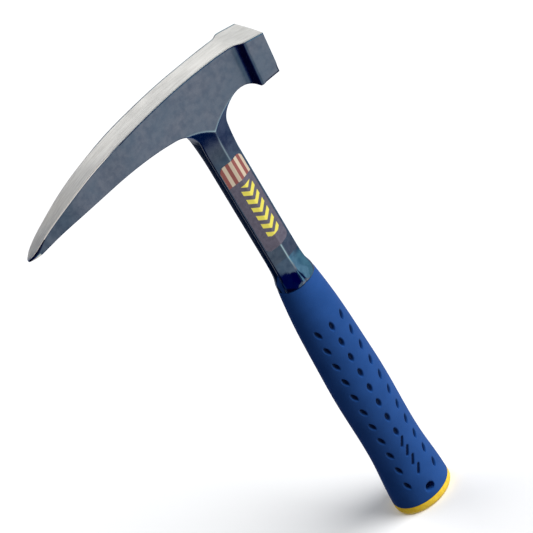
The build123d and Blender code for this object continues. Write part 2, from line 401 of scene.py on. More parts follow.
def body_half(x, z):
    """Half thickness of the forging anywhere in its side view."""
    cheeks = plan_half(x, z)
    over_neck = (x > THROAT[0]) & (x < NOTCH[0]) & (z < CREASE_HIGH)
    high = np.where(over_neck, soft_min(cheeks, flare_half(x, z), CREASE_ROUND), cheeks)
    _, half_y, corner_x, corner_y, bow = section(np.clip(z, COLLAR_Z, COLLAR_TOP))
    share = np.clip(np.abs(x) / corner_x, 0, 1)
    flat = half_y - (half_y - corner_y) * soft_abs(x) / corner_x
    length = np.hypot(corner_x, half_y - corner_y)
    low = flat + COLLAR_BOW * bow * length * 4 * share * (1 - share)
    return np.where(z >= FLARE_LOW, high, low)


# -------------------------------------------------- mesh of the forging's side
# Distances from a rim at which points are laid, so that its rounding is smooth
EDGE_STEPS = np.array([0.0, 0.09, 0.2, 0.34, 0.55])


SHORT = 6.0  # lines shorter than this have finer steps


def rows_between(length, middle_count):
    """Shares of a line, with fine steps at both ends."""
    fine = EDGE_STEPS * np.minimum(1, length / SHORT) / length
    middle = np.linspace(fine[-1], 1 - fine[-1], middle_count)
    return np.concatenate([fine[:-1], middle, (1 - fine[:-1])[::-1]])


def cluster(count, share):
    """Shares from 0 to 1 with fine steps next to 0."""
    fine = EDGE_STEPS * share
    rest = np.linspace(fine[-1], 1, count - len(fine) + 1)
    return np.concatenate([fine[:-1], rest])


def meeting(sign, centre, radius):
    """Where the cheek's lower boundary meets a hollow."""
    low, high = CREASE_LOW, centre[1] + radius - 0.1
    for _ in range(60):
        z = (low + high) / 2
        x = sign * float(hollow_edge(np.array(z), centre, radius))
        if flare_half(np.array(x), np.array(z)) < plan_half(np.array(x), np.array(z)):
            low = z
        else:
            high = z
    return np.array([x, z])


meet_left = meeting(-1, THROAT, THROAT_R)
meet_right = meeting(1, NOTCH, NOTCH_R)


def crease_z(x):
    """Height of the cheek's lower boundary above the neck."""
    low = np.full_like(x, CREASE_LOW)
    high = np.full_like(x, CREASE_HIGH)
    for _ in range(50):
        z = (low + high) / 2
        below = flare_half(x, z) < plan_half(x, z)
        low = np.where(below, z, low)
        high = np.where(below, high, z)
    return low


HALF_COLUMNS = 26  # from each side of the neck to its ridge
across = cluster(HALF_COLUMNS, 0.1)  # 0 at the outline, 1 at the ridge
left_x = meet_left[0] * (1 - across)
right_x = (meet_right[0] * (1 - across))[::-1]
crease_left = np.stack([left_x, crease_z(left_x)], 1)
crease_right = np.stack([right_x, crease_z(right_x)], 1)
crease_left[0] = meet_left
crease_right[-1] = meet_right


def arc(centre, radius, angles):
    """Points on a circle in the side view."""
    return np.stack([centre[0] + radius * np.cos(angles), centre[1] + radius * np.sin(angles)], 1)


# Lower boundary of the head, from the tip to the striking face
pick_x = np.concatenate(
    [
        TIP_X + np.array([0.0, 0.12, 0.3, 0.6, 1.0, 1.5, 2.2, 3.0, 4.0]),
        np.arange(TIP_X + 5, THROAT_HIGH[0], 0.8),
    ]
)
under_z = np.interp(pick_x, under_curve[:, 0], under_curve[:, 1])
bevel_share = np.clip((pick_x - TIP_X) / BEVEL_LENGTH, 0, 1)
bevel_z = NOSE_Z + (TIP_Z - BEVEL_DROP - NOSE_Z) * bevel_share
under_z = np.where(pick_x < TIP_X + BEVEL_LENGTH, bevel_z, under_z)
throat_end = math.atan2(meet_left[1] - THROAT[1], meet_left[0] - THROAT[0])
throat_angle = np.linspace(math.pi / 2 - THROAT_START, throat_end, 16)[1:-1]
throat_arc = arc(THROAT, THROAT_R, throat_angle)
notch_start = math.atan2(meet_right[1] - NOTCH[1], meet_right[0] - NOTCH[0])
notch_end = math.atan2(POLL_LOW[1] - NOTCH[1], POLL_LOW[0] - NOTCH[0])
notch_arc = arc(NOTCH, NOTCH_R, np.linspace(notch_start, notch_end, 46)[1:])
under_length = FACE_LOW[0] - POLL_LOW[0]
under_steps = np.concatenate(
    [np.arange(0.35, under_length - 0.7, 0.4), under_length - EDGE_STEPS[::-1]]
)
slope = (FACE_LOW[1] - POLL_LOW[1]) / under_length
poll_under = np.stack([POLL_LOW[0] + under_steps, POLL_LOW[1] + slope * under_steps], 1)
lower = np.concatenate(
    [
        np.stack([pick_x, under_z], 1),
        throat_arc,
        crease_left,
        crease_right[1:],
        notch_arc,
        poll_under,
    ]
)
first_crease = len(pick_x) + len(throat_arc)
ridge_column = first_crease + HALF_COLUMNS - 1
last_crease = ridge_column + HALF_COLUMNS - 1

# Each column of the head leans more towards the block, where it follows the striking face
LEAN_FROM, LEAN_TO = -40.0, 20.0
lean_share = smooth((lower[:, 0] - LEAN_FROM) / (LEAN_TO - LEAN_FROM))
lean_x = np.tan(FACE_LEAN) * lean_share
upper_x = lower[:, 0].copy()
for _ in range(30):
    upper_x = lower[:, 0] + lean_x * (top_z(upper_x) - lower[:, 1])
upper = np.stack([upper_x, top_z(upper_x)], 1)

ROWS = 40
points = []  # x, z of each point of the side view


def add_point(p):
    """Adds a point to the side view and says its number."""
    points.append((float(p[0]), float(p[1])))
    return len(points) - 1


head_columns = []
for low_end, high_end in zip(lower, upper):
    length = max(np.linalg.norm(high_end - low_end), 0.4)
    shares = rows_between(length, ROWS)
    head_columns.append([add_point(low_end + (high_end - low_end) * s) for s in shares])
head = np.array(head_columns)  # point numbers, by column from the tip and by row


def run_shares(line):
    """How far along a line each of its points lies, from 0 to 1."""
    lengths = np.linalg.norm(np.diff(line, axis=0), axis=1)
    return np.concatenate([[0], np.cumsum(lengths)]) / lengths.sum()


def patch(bottom, top, left, right):
    """Grid between four boundary lines, as rows from bottom to top."""
    u = run_shares(bottom)[None, :, None]
    v = run_shares(right)[:, None, None]
    grid = (1 - v) * bottom[None] + v * top[None]
    grid = grid + (1 - u) * left[:, None] + u * right[:, None]
    corners = (
        (1 - u) * (1 - v) * bottom[0]
        + u * (1 - v) * bottom[-1]
        + (1 - u) * v * top[0]
        + u * v * top[-1]
    )
    return grid - corners


NECK_ROWS = 44
vertex_z = crease_left[-1, 1]  # where the ridge meets the cheeks
ridge_line = np.stack([np.zeros(NECK_ROWS), np.linspace(FLARE_LOW, vertex_z, NECK_ROWS)], 1)
left_z = np.linspace(FLARE_LOW, meet_left[1], 600)
left_edge = np.stack([-hollow_edge(left_z, THROAT, THROAT_R), left_z], 1)
right_z = np.linspace(FLARE_LOW, meet_right[1], 600)
right_edge = np.stack([hollow_edge(right_z, NOTCH, NOTCH_R), right_z], 1)


def even(line, count):
    """Line resampled to evenly spaced points."""
    t = np.concatenate([[0], np.cumsum(np.linalg.norm(np.diff(line, axis=0), axis=1))])
    s = np.linspace(0, t[-1], count)
    return np.stack([np.interp(s, t, line[:, 0]), np.interp(s, t, line[:, 1])], 1)


bottom_left = np.stack([-NECK_WIDE * (1 - across), np.full(HALF_COLUMNS, FLARE_LOW)], 1)
left_grid = patch(bottom_left, crease_left, even(left_edge, NECK_ROWS), ridge_line)
right_grid = patch(
    bottom_left * (-1, 1), crease_right[::-1], even(right_edge, NECK_ROWS), ridge_line
)[:, ::-1]
neck_rows = []
for row in range(NECK_ROWS - 1):
    line = np.concatenate([left_grid[row], right_grid[row][1:]])
    neck_rows.append([add_point(p) for p in line])
neck_rows.append([int(head[c, 0]) for c in range(first_crease, last_crease + 1)])
straight_z = np.concatenate(
    [np.arange(COLLAR_Z, 198, 0.45), np.arange(198.4, FLARE_LOW - 0.5, 1.0)]
)
straight_rows = []
both = np.concatenate([-(1 - across), (1 - across)[::-1][1:]])
for z in straight_z:
    corner_x = float(section(np.array(z))[2]) if z < COLLAR_TOP else NECK_WIDE
    straight_rows.append([add_point((corner_x * s, z)) for s in both])
neck = np.array(straight_rows + neck_rows)  # point numbers, by row from the collar up

# The outline, once round, starting at the collar's left
outline = (
    [int(i) for i in neck[:, 0]]
    + [int(head[c, 0]) for c in range(first_crease - 1, 0, -1)]
    + [int(i) for i in head[0]]
    + [int(head[c, -1]) for c in range(1, len(lower) - 1)]
    + [int(i) for i in head[-1][::-1]]
    + [int(head[c, 0]) for c in range(len(lower) - 2, last_crease, -1)]
    + [int(i) for i in neck[::-1, -1]]
)
xz = np.array(points)
ring = xz[outline]


def distances_to(line):
    """Distance of each point of the side view to the nearest point of a line."""
    tree = kdtree.KDTree(len(line))
    for i, (x, z) in enumerate(line):
        tree.insert((x, 0, z), i)
    tree.balance()
    return np.array([tree.find((x, 0, z))[2] for x, z in xz])


# Distance of each point to the outline, for the rounded edge
OUTLINE_STEP = 0.05
dense = []
for a, b in zip(ring[:-1], ring[1:]):
    n = max(2, int(np.linalg.norm(b - a) / OUTLINE_STEP))
    dense.append(a + (b - a) * np.linspace(0, 1, n, endpoint=False)[:, None])
distance = distances_to(np.concatenate(dense))
distance[outline] = 0

half = body_half(xz[:, 0], xz[:, 1])
under_poll = smooth((xz[:, 0] - POLL_BACK) / 3) * smooth((POLL_RIM_TOP - xz[:, 1]) / 3)
rim = np.minimum(RIM + (POLL_RIM - RIM) * under_poll, half * 0.6)
side_y = half - round_off(rim, distance)

count = len(xz)
near = np.stack([xz[:, 0], -side_y, xz[:, 1]], 1)
far = near * (1, -1, 1)

# The narrow sides: strips across from the near outline to the far one
STRIP = 14
strip_shares = np.linspace(-1, 1, STRIP + 1)[1:-1]
tangent = np.gradient(ring, axis=0)
tangent /= np.maximum(np.linalg.norm(tangent, axis=1), 1e-9)[:, None]
outward = np.stack([-tangent[:, 1], tangent[:, 0]], 1)
strip_points = []
for k, index in enumerate(outline):
    x, z = ring[k]
    y = side_y[index]
    if z < COLLAR_TOP:
        half_x, _, corner_x, _, bow = [float(v) for v in section(np.array(z))]
        crown = half_x - corner_x + NECK_CROWN * (1 - bow)
        direction = np.array([math.copysign(1, x), 0])
    else:
        crown = NECK_CROWN if z < HEAD_CROWN_Z else HEAD_CROWN
        direction = outward[k]
    for s in strip_shares:
        lift = crown * (1 - s * s)
        strip_points.append((x + direction[0] * lift, s * y, z + direction[1] * lift))
strip_points = np.array(strip_points)
all_points = np.concatenate([near, far, strip_points])


def strip_index(k, j):
    """Point j across the narrow side at outline place k."""
    if j == 0:
        return outline[k]
    if j == STRIP:
        return count + outline[k]
    return 2 * count + k * (STRIP - 1) + j - 1


LACQUER, GROUND = 0, 1  # places of the two materials
faces, kinds = [], []


def side_grid(grid, kind_of):
    """Faces of both wide sides from a grid of point numbers."""
    rows, columns = grid.shape
    for r in range(rows - 1):
        for c in range(columns - 1):
            a, b, d, e = grid[r, c], grid[r, c + 1], grid[r + 1, c + 1], grid[r + 1, c]
            faces.append((int(a), int(b), int(d), int(e)))
            faces.append((int(e) + count, int(d) + count, int(b) + count, int(a) + count))
            kinds.extend((kind_of(r, c), kind_of(r, c)))


last_row = head.shape[1] - 1


def head_kind(r, c):
    """Material of the head: bare steel along the top rim and on the tip's small bevel."""
    x = lower[c, 0]
    bare_rows = 3 if TIP_X + BARE_TIP < x < BARE_RIM_AND_HIGHLIGHT_FROM else 1
    bevel = r < BEVEL_ROWS and TIP_X + BEVEL_FROM < x < TIP_X + BEVEL_TO
    return GROUND if r >= last_row - bare_rows or bevel else LACQUER


side_grid(head.T, head_kind)
side_grid(neck, lambda r, c: LACQUER)

in_neck = len(neck)
under_end = in_neck + first_crease - 1
tip_end = under_end + last_row
top_end = tip_end + len(lower) - 1
face_end = top_end + last_row
for k in range(len(outline) - 1):
    x = (ring[k][0] + ring[k + 1][0]) / 2
    top_and_ends = under_end - 1 <= k < face_end
    bevel = in_neck < k < under_end and x < TIP_X + BEVEL_STRIP
    kind = GROUND if top_and_ends or bevel else LACQUER
    for j in range(STRIP):
        faces.append(
            (
                strip_index(k, j),
                strip_index(k, j + 1),
                strip_index(k + 1, j + 1),
                strip_index(k + 1, j),
            )
        )
        kinds.append(kind)

# The collar's underside and the tang that runs down inside the grip
loop = (
    [int(i) for i in neck[0]]
    + [strip_index(len(outline) - 1, j) for j in range(1, STRIP)]
    + [int(i) + count for i in neck[0][::-1]]
    + [strip_index(0, j) for j in range(STRIP - 1, 0, -1)]
)
loop_points = all_points[loop]
corner_x0, corner_y0 = abs(near[neck[0, 0], 0]), abs(near[neck[0, 0], 1])
tang_x = np.clip(loop_points[:, 0] / corner_x0, -1, 1) * TANG[0]
tang_y = np.clip(loop_points[:, 1] / corner_y0, -1, 1) * TANG[1]
rings = [loop]
for z in (COLLAR_Z, TANG_LOW):
    start = len(all_points)
    rings.append(list(range(start, start + len(loop))))
    tang_ring = np.stack([tang_x, tang_y, np.full(len(loop), z)], 1)
    all_points = np.concatenate([all_points, tang_ring])
for outer, inner in zip(rings, rings[1:]):
    for i in range(len(loop)):
        j = (i + 1) % len(loop)
        faces.append((outer[j], outer[i], inner[i], inner[j]))
        kinds.append(LACQUER)
faces.append(tuple(rings[-1][::-1]))
kinds.append(LACQUER)


# ----------------------------------------------------------------- materials
class Look:
    """A node material under construction. Spaces in input names are underscores."""

    def __init__(self, name):
        self.material = bpy.data.materials.new(name)
        self.material.use_nodes = True
        self.tree = self.material.node_tree
        self.surface = self.tree.nodes["Principled BSDF"]
        self.place = self.add("ShaderNodeTexCoord").outputs["Object"]

    def add(self, kind, settings=None, **inputs):
        node = self.tree.nodes.new(kind)
        for key, value in (settings or {}).items():
            setattr(node, key, value)
        for key, value in inputs.items():
            self.put(node, key.replace("_", " "), value)
        return node

    def put(self, node, key, value):
        socket = node.inputs[int(key)] if key.isdigit() else node.inputs[key]
        if isinstance(value, bpy.types.NodeSocket):
            self.tree.links.new(value, socket)
        else:
            socket.default_value = value

    def set(self, **inputs):
        for key, value in inputs.items():
            self.put(self.surface, key.replace("_", " "), value)

    def math(self, operation, *values):
        node = self.add("ShaderNodeMath", {"operation": operation})
        for i, value in enumerate(values):
            self.put(node, str(i), value)
        return node.outputs[0]

    def stretch(self, scale):
        node = self.add("ShaderNodeMapping", Vector=self.place, Scale=scale)
        return node.outputs[0]

    def noise(self, scale, detail=3.0, roughness=0.55, vector=None):
        node = self.add(
            "ShaderNodeTexNoise",
            Vector=vector or self.place,
            Scale=scale,
            Detail=detail,
            Roughness=roughness,
        )
        return node.outputs["Fac"]

    def ramp(self, value, low, high, out_low=0.0, out_high=1.0):
        node = self.add("ShaderNodeMapRange", Value=value)
        node.interpolation_type = "SMOOTHSTEP"
        node.inputs["From Min"].default_value = low
        node.inputs["From Max"].default_value = high
        node.inputs["To Min"].default_value = out_low
        node.inputs["To Max"].default_value = out_high
        return node.outputs[0]

    def mix(self, share, a, b):
        node = self.add("ShaderNodeMix", {"data_type": "RGBA"})
        self.put(node, "0", share)
        self.put(node, "6", a)
        self.put(node, "7", b)
        return node.outputs[2]

    def band(self, value, low, high, soft=0.12):
        """1 where value lies between low and high, else 0, with soft ends."""
        up = self.ramp(value, low - soft, low + soft)
        down = self.ramp(value, high - soft, high + soft)
        return self.math("SUBTRACT", up, down)

    def attribute(self, name):
        return self.add("ShaderNodeAttribute", {"attribute_name": name}).outputs["Fac"]

    def bump(self, height, strength, distance):
        node = self.add("ShaderNodeBump", Height=height, Strength=strength, Distance=distance)
        self.set(Normal=node.outputs[0])


def srgb(r, g, b):
    """Linear colour from 0-255 display values."""
    out = []
    for v in (r, g, b):
        v = v / 255
        out.append(v / 12.92 if v <= 0.04045 else ((v + 0.055) / 1.055) ** 2.4)
    return (*out, 1.0)


def lacquered_steel():
    """Dark blue-grey lacquer over forged steel, with painted highlight lines on its edges and
    painted shade in its dark marks.
    """
    look = Look("lacquered_steel")
    mottle = look.noise(260, 4, 0.6)
    clouds = look.noise(60, 3, 0.5)
    tone = look.mix(look.ramp(mottle, 0.3, 0.7), srgb(86, 96, 116), srgb(112, 118, 134))
    tone = look.mix(look.ramp(clouds, 0.35, 0.7, 0, 0.4), tone, srgb(78, 100, 122))
    # painted highlight: light cyan lines where the edge attribute is set
    painted_highlight = look.math("MULTIPLY", look.attribute("edge"), 0.8)
    tone = look.mix(painted_highlight, tone, srgb(176, 205, 215))
    # painted shade: deep blue where the gloom attribute is set
    tone = look.mix(look.attribute("gloom"), tone, srgb(6, 16, 62))
    roughness = look.ramp(mottle, 0.3, 0.7, 0.15, 0.24)
    look.set(
        Base_Color=tone,
        Metallic=1.0,
        Roughness=look.math("MULTIPLY", roughness, look.attribute("dull")),
        Coat_Weight=0.3,
        Coat_Roughness=0.1,
    )
    look.bump(look.noise(900, 3, 0.5), 0.05, 0.0004)
    return look.material


def ground_steel():
    """Bare steel with fine grinding lines across it, painted lighter and less metallic as a
    highlight where the edge attribute is set.
    """
    look = Look("ground_steel")
    grain = look.noise(1.0, 5, 0.65, look.stretch((60, 1500, 400)))
    blotch = look.noise(45, 3, 0.5)
    edge = look.attribute("edge")
    steel = look.mix(look.ramp(grain, 0.3, 0.7), srgb(192, 191, 187), srgb(217, 217, 213))
    # the edge attribute paints a cream highlight on the top rims and the tip's bevel
    look.set(
        Base_Color=look.mix(edge, steel, srgb(246, 238, 228)),
        Metallic=look.ramp(edge, 0.2, 0.8, 0.88, 0.1),
        Roughness=look.ramp(blotch, 0.3, 0.7, 0.38, 0.52),
    )
    look.bump(grain, 0.12, 0.0003)
    return look.material


def blue_vinyl():
    """Matt moulded vinyl, with painted shade inside its dimples."""
    look = Look("blue_vinyl")
    fine = look.noise(1400, 3, 0.6)
    broad = look.noise(70, 3, 0.5)
    blue = look.mix(look.ramp(broad, 0.3, 0.7), srgb(27, 71, 138), srgb(33, 78, 148))
    blue = look.mix(look.ramp(fine, 0.35, 0.65, 0, 0.2), blue, srgb(44, 90, 162))
    # painted shade inside the dimples
    inside = look.math("MULTIPLY", look.attribute("pocket"), 0.9)
    look.set(
        Base_Color=look.mix(inside, blue, srgb(0, 2, 44)),
        Roughness=look.ramp(fine, 0.3, 0.7, 0.48, 0.62),
        Specular_IOR_Level=0.35,
        Specular_Tint=(0.4, 0.7, 1.0, 1.0),
    )
    look.bump(fine, 0.25, 0.0002)
    return look.material


def yellow_vinyl():
    """Softer cushioning vinyl; a faint glow stands for light scattered inside it."""
    look = Look("yellow_vinyl")
    speck = look.noise(500, 3, 0.6)
    look.set(
        Base_Color=look.mix(
            look.ramp(speck, 0.3, 0.7), srgb(232, 186, 24), srgb(248, 214, 58)
        ),
        Roughness=0.45,
        Emission_Color=srgb(236, 190, 40),
        Emission_Strength=0.16,
    )
    look.bump(speck, 0.2, 0.0002)
    return look.material


def label_film():
    """Printed film: a striped panel above a column of chevrons, on a grey ground."""
    look = Look("label_film")
    split = look.add("ShaderNodeSeparateXYZ", Vector=look.place)
    across_mm = look.math("MULTIPLY", split.outputs[0], 1 / MM)
    height_mm = look.math("MULTIPLY", split.outputs[2], 1 / MM)
    dust = look.noise(500, 3, 0.6)
    tone = look.mix(look.ramp(dust, 0.3, 0.7), srgb(92, 84, 100), srgb(108, 100, 116))

    shifted = look.math("ADD", across_mm, 100.0)
    wave = look.math("FRACT", look.math("DIVIDE", shifted, STRIPE_PITCH))
    stripe = look.band(wave, 0.25, 0.75, 0.03)
    panel = look.mix(stripe, srgb(226, 206, 180), srgb(158, 82, 74))
    tone = look.mix(look.band(height_mm, PANEL_LOW, PANEL_HIGH), tone, panel)

    arm = look.math("ABSOLUTE", look.math("SUBTRACT", across_mm, CHEVRON_X))
    level = look.math("SUBTRACT", height_mm, look.math("MULTIPLY", arm, 0.75))
    beat = look.math("FRACT", look.math("DIVIDE", level, CHEVRON_PITCH))
    in_column = look.math(
        "MULTIPLY",
        look.band(height_mm, CHEVRONS_LOW, CHEVRONS_HIGH),
        look.math("LESS_THAN", arm, CHEVRON_ARM),
    )
    chevron = look.math("MULTIPLY", look.band(beat, 0.2, 0.72, 0.03), in_column)
    look.set(
        Base_Color=look.mix(chevron, tone, srgb(255, 240, 92)),
        Roughness=look.ramp(dust, 0.3, 0.7, 0.3, 0.42),
        Coat_Weight=0.3,
    )
    look.bump(dust, 0.06, 0.0002)
    return look.material


def studio_floor():
    """Plain pale paper."""
    look = Look("studio_floor")
    look.set(Base_Color=(0.9, 0.9, 0.9, 1), Roughness=0.9, Specular_IOR_Level=0.0)
    return look.material


def finish(obj, cad_piece):
    """Hangs an object under the root body and hides the CAD piece it stands for."""
    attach(obj, "root")
    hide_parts(cad_piece)


# ------------------------------------------------------------ forging's object
forging = make_mesh(
    "forged_head_and_neck", all_points, faces, [lacquered_steel(), ground_steel()], kinds
)
x, z = xz[:, 0], xz[:, 1]
from_tip = x - TIP_X

# Painted highlights: light lines on the neck's ridge, the cheeks' lower boundary and the top
# rims, and on the tip's bevel
ridge_fade = smooth((z - RIDGE_LOW) / 12) * (1 - 0.6 * smooth((z - RIDGE_DIM) / 8))
ridge_near = np.exp(-((x / RIDGE_LINE) ** 2)) * smooth((vertex_z - z) / 0.6) * ridge_fade
to_crease = distances_to(np.concatenate([crease_left, crease_right]))
crease_near = np.exp(-((to_crease / CREASE_LINE) ** 2))
# painted highlight along the top rims near the tip
painted_rim_highlight = smooth((0.34 - distance) / 0.15) * smooth((BARE_RIM_AND_HIGHLIGHT_FROM - x) / 12) * (z > TOP_RIM_LOW)
painted_rim_highlight *= 0.8
# the tip's bare bevel, brightened with painted highlight
bevel_side = smooth((from_tip - BEVEL_FROM) / 0.4) * smooth((BEVEL_TO - from_tip) / 0.4)
bevel_side *= smooth((BEVEL_TOP - z) / 0.3)
edge = np.maximum.reduce([ridge_near, crease_near, painted_rim_highlight, bevel_side])

# Painted shade: a dark wedge along the cheek's top near the tip, and a dark line along the
# block's lower rim
wedge = WEDGE_DEPTH * smooth((WEDGE_LENGTH - from_tip) / WEDGE_LENGTH)
tip_gloom = smooth((wedge - (top_z(x) - z)) / 0.4) * (wedge > 0) * (1 - bevel_side)
under_line = under_poll * smooth((UNDER_LINE - distance) / 0.3)
gloom = np.maximum(tip_gloom, under_line)

on_strips = np.zeros(len(all_points) - 2 * count)
# edge holds painted highlights
paint(forging, "edge", np.concatenate([edge, edge, on_strips]))
# gloom holds painted shade
paint(forging, "gloom", np.concatenate([gloom, gloom, on_strips]))
paint(forging, "dull", 0.4 + 0.6 * smooth((all_points[:, 2] - GLOSS_TOP) / 8))
finish(forging, "forged_body")

# ---------------------------------------------------------------------- grip
grip_curve = cubic(GRIP, count=2000)


def grip_half(z):
    return np.interp(z, grip_curve[:, 0], grip_curve[:, 1])


def grip_ratio(z):
    return RATIO_LOW + (RATIO_HIGH - RATIO_LOW) * z / COLLAR_Z


marks = []  # angle, height, lean, length, width, depth, bluntness
for side in SIDES:
    for column in (-1, 0, 1):
        for n in range(SIDE_COUNT if column else MIDDLE_COUNT):
            angle = MARK_TURN + side + column * COLUMN_TURN
            height = DIMPLE_TOP - n * DIMPLE_PITCH
            marks.append((angle, height, column * COLUMN_LEAN, *DIMPLE, DIMPLE_POWER))
    for n in range(BAR_COUNT):
        marks.append((MARK_TURN + side, BAR_TOP - n * BAR_PITCH, BAR_LEAN, *BAR, BAR_POWER))


def grip_columns():
    """Angles round the grip from -Y, close together where the dimples are."""
    parts = []
    for side in SIDES:
        low = MARK_TURN + side - math.radians(50)
        high = low + math.radians(100)
        parts.append(np.linspace(low, high, 104, endpoint=False))
        parts.append(np.linspace(high, low + math.pi, 18, endpoint=False))
    return np.concatenate(parts)


theta = grip_columns()
lip_steps = np.array([0.0, 0.06, 0.18, 0.35, 0.6, 1.0])
grip_z = np.concatenate(
    [
        CAP_Z + lip_steps,
        np.arange(CAP_Z + 1.6, 17, 0.6),
        np.arange(17, 150, 0.38),  # close together where the dimples are
        np.arange(150, COLLAR_Z - 1.2, 1.1),
        COLLAR_Z - lip_steps[::-1],
    ]
)
turn_at, z_at = np.meshgrid(theta, grip_z)
half_x = grip_half(z_at)
half_y = half_x * grip_ratio(z_at)
end_drop = round_off(SLEEVE_LIP, np.minimum(z_at - CAP_Z, COLLAR_Z - z_at))
depth = end_drop.copy()
pocket = np.zeros_like(depth)
arc_rate = np.sqrt((half_x * np.cos(turn_at)) ** 2 + (half_y * np.sin(turn_at)) ** 2)


def turn_from(angle):
    """Turn of each point of the sleeve from an angle, between half turns."""
    return (turn_at - angle + math.pi) % (2 * math.pi) - math.pi


for angle, height, lean, length, width, deep, power in marks:
    aside, above = turn_from(angle) * arc_rate, z_at - height
    close = (np.abs(aside) < length) & (np.abs(above) < length)
    a = aside * math.cos(lean) - above * math.sin(lean)
    b = aside * math.sin(lean) + above * math.cos(lean)
    q = np.abs(a / (width / 2)) ** power + np.abs(b / (length / 2)) ** power
    share = smooth((1 - q) / 0.75)
    depth = np.where(close, np.maximum(depth, end_drop + deep * share), depth)
    pocket = np.where(close, np.maximum(pocket, share), pocket)
# soft lip round the lanyard hole
LIP_DEPTH, LIP_WIDTH = 0.4, 0.9
for side in SIDES:
    away = np.hypot(turn_from(MARK_TURN + side) * arc_rate, z_at - LANYARD_Z)
    depth = depth + LIP_DEPTH * np.clip(1 - (away - LANYARD_R) / LIP_WIDTH, 0, 1) ** 2
normal_x, normal_y = np.sin(turn_at) / half_x, -np.cos(turn_at) / half_y
normal_size = np.hypot(normal_x, normal_y)
outer = np.stack(
    [
        half_x * np.sin(turn_at) - depth * normal_x / normal_size,
        -half_y * np.cos(turn_at) - depth * normal_y / normal_size,
        z_at,
    ],
    -1,
)


def oval(z, grow, angles, height=None):
    """The grip's outline at height z, grown all round, and moved to another height."""
    a = float(grip_half(z)) + grow
    b = float(grip_half(z) * grip_ratio(z)) + grow
    level = np.full(len(angles), z if height is None else height)
    return np.stack([a * np.sin(angles), -b * np.cos(angles), level], 1)


def loft(rings, closed):
    """Points and quads joining rings; closed joins the last ring to the first."""
    n = len(rings[0])
    pts = np.concatenate(rings)
    quads = []
    pairs = len(rings) if closed else len(rings) - 1
    for r in range(pairs):
        low, high = r * n, ((r + 1) % len(rings)) * n
        for i in range(n):
            j = (i + 1) % n
            quads.append((low + i, low + j, high + j, high + i))
    if not closed:
        quads.append(tuple(range(n))[::-1])
        quads.append(tuple(range((len(rings) - 1) * n, len(rings) * n)))
    return pts, quads


levels = [CAP_Z] + [z for z, _ in GRIP[1:-1]] + [COLLAR_Z]
inner_rings = [oval(z, -WALL, theta) for z in levels[::-1]]
sleeve_points, sleeve_quads = loft(list(outer) + inner_rings, True)
pocket_value = np.concatenate([pocket.ravel(), np.zeros(len(theta) * len(inner_rings))])

sleeve = make_mesh("grip_sleeve_blue", sleeve_points, sleeve_quads, [blue_vinyl()])
# the pocket attribute marks the dimples for their painted shade
paint(sleeve, "pocket", pocket_value)

# Cushioning: the cap with its rounded rim, then up inside the sleeve and down to the tang
core_angles = np.linspace(0, 2 * math.pi, 128, endpoint=False)
core_rings = []
for angle in np.linspace(0, math.pi / 2, 9):
    grow = -CAP_ROUND + CAP_ROUND * math.sin(angle)
    height = CAP_ROUND - CAP_ROUND * math.cos(angle)
    core_rings.append(oval(CAP_Z, grow, core_angles, height))
for below, shrink in ((1.6, 0), (0.45, 0), (0.2, 0.08), (0.05, 0.25), (0, 0.5)):
    core_rings.append(oval(CAP_Z, -shrink, core_angles, CAP_Z - below))
for z in levels:
    core_rings.append(oval(z, -WALL, core_angles))
square = np.stack([np.sin(core_angles), -np.cos(core_angles)], 1)
tang_ring = square / np.abs(square).max(axis=1, keepdims=True) * TANG
for z in (COLLAR_Z, TANG_LOW):
    core_rings.append(np.column_stack([tang_ring, np.full(len(core_angles), z)]))
core = make_mesh("grip_core_yellow", *loft(core_rings, False), [yellow_vinyl()])


def rod(radius, reach):
    """Round rod along the lanyard hole."""
    turn = np.linspace(0, 2 * math.pi, 64, endpoint=False)
    axis = np.array([math.sin(MARK_TURN), -math.cos(MARK_TURN), 0])
    side = np.array([math.cos(MARK_TURN), math.sin(MARK_TURN), 0])
    circle = np.outer(np.cos(turn), side) + np.outer(np.sin(turn), (0, 0, 1))
    ends = [circle * radius + axis * end + (0, 0, LANYARD_Z) for end in (-reach, reach)]
    return make_mesh("rod", *loft(ends, False), [])


def carve(obj, steps):
    """Joins rods to obj or cuts them out of it."""
    rods = []
    for operation, radius, reach in steps:
        cut = obj.modifiers.new(operation, "BOOLEAN")
        cut.operation = operation
        cut.solver = "EXACT"
        cut.object = rod(radius, reach)
        rods.append(cut.object)
    graph = bpy.context.evaluated_depsgraph_get()
    result = bpy.data.meshes.new_from_object(obj.evaluated_get(graph), depsgraph=graph)
    obj.modifiers.clear()
    obj.data = result
    for used in rods:
        bpy.data.objects.remove(used)
    result.set_sharp_from_angle(angle=math.radians(60))


IN_SLEEVE = 14.2  # ends the lining's rod within the sleeve's wall
THROUGH = 30.0
carve(sleeve, (("UNION", LANYARD_R + LINING, IN_SLEEVE), ("DIFFERENCE", LANYARD_R, THROUGH)))
carve(core, (("DIFFERENCE", LANYARD_R + LINING, THROUGH),))
finish(sleeve, "grip_sleeve")
finish(core, "grip_core")

